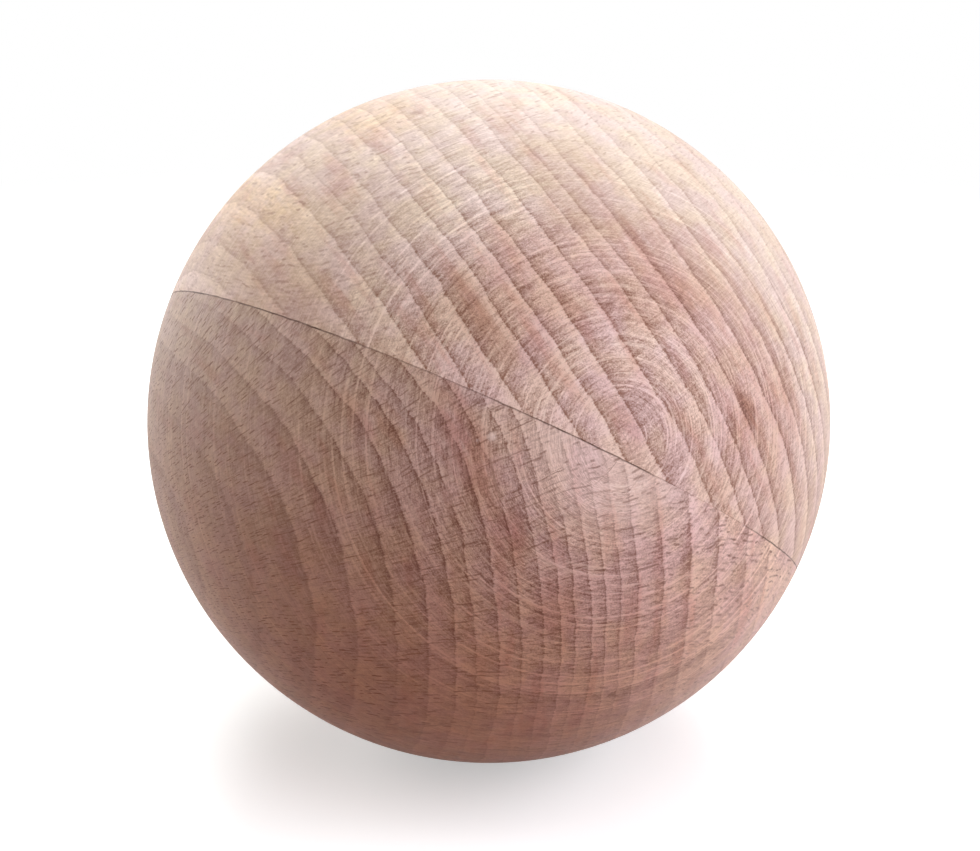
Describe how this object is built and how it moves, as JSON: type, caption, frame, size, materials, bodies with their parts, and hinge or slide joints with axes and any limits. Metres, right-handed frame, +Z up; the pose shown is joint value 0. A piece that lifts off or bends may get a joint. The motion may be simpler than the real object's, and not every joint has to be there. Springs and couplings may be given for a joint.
{
  "type": "wooden ball",
  "caption": "Solid turned beech ball, glued up from two blocks with one flat joint just below its centre.",
  "frame": {"origin": "centre of the ball", "axes": "+Z up as the ball lies, with the glued joint leaning away from level"},
  "size_m": [0.1, 0.1, 0.1],
  "materials": {
    "upper_beech": "raw, fine-sanded beech",
    "lower_beech": "raw, fine-sanded beech"
  },
  "bodies": {
    "root": {"upper_block": "upper_beech", "lower_block": "lower_beech"}
  },
  "joints": []
}
